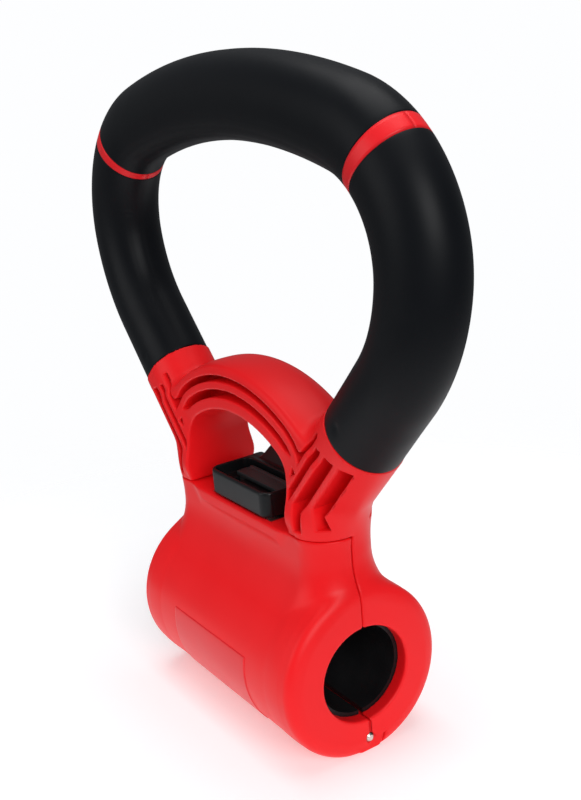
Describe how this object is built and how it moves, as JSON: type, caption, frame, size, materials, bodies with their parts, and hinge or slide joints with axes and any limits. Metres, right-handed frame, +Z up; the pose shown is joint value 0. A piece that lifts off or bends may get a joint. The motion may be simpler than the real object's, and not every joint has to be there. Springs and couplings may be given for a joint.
{
  "type": "kettlebell handle for dumbbell",
  "caption": "Clamp-on kettlebell handle: a padded loop over a hinged split barrel that closes round a dumbbell's grip, with a spring latch and a sliding lock.",
  "frame": {"origin": "centre of the bore, halfway along the barrel", "axes": "+X along the bore, -Y the front where the jaw opens, +Z up to the handle"},
  "size_m": [0.2472, 0.0731, 0.2725],
  "materials": {
    "red_moulding": "satin",
    "grip_rubber": "satin",
    "liner_rubber": "matte",
    "steel": "bright zinc plating",
    "spring_steel": "drawn wire",
    "latch_plastic": "satin",
    "lock_plastic": "satin"
  },
  "bodies": {
    "frame": {"main_frame": "red_moulding", "core_front": "red_moulding", "core_back": "red_moulding", "grip_top": "grip_rubber", "grip_left": "grip_rubber", "grip_right": "grip_rubber", "back_liner": "liner_rubber", "core_screws": "steel", "latch_pin": "steel", "spring_left": "spring_steel", "spring_right": "spring_steel"},
    "front_jaw": {"front_jaw": "red_moulding", "front_liner": "liner_rubber", "hinge_pin": "steel", "catch_plate": "steel", "catch_screws": "steel"},
    "latch": {"latch_lever": "latch_plastic"},
    "lock": {"lock_slider": "lock_plastic"}
  },
  "joints": [
    {"name": "jaw_hinge", "type": "hinge", "parent": "frame", "child": "front_jaw", "pos_m": [0, 0, -0.0288], "axis": [1, 0, 0], "range_deg": [0, 75]},
    {"name": "latch_hinge", "type": "hinge", "parent": "frame", "child": "latch", "pos_m": [0, 0.007, 0.063], "axis": [-1, 0, 0], "range_deg": [0, 20], "stiffness_Nm_per_rad": 0.08, "springref_deg": -28.65},
    {"name": "lock_slide", "type": "slide", "parent": "latch", "child": "lock", "axis": [0, -1, 0], "range_m": [0, 0.005]}
  ]
}
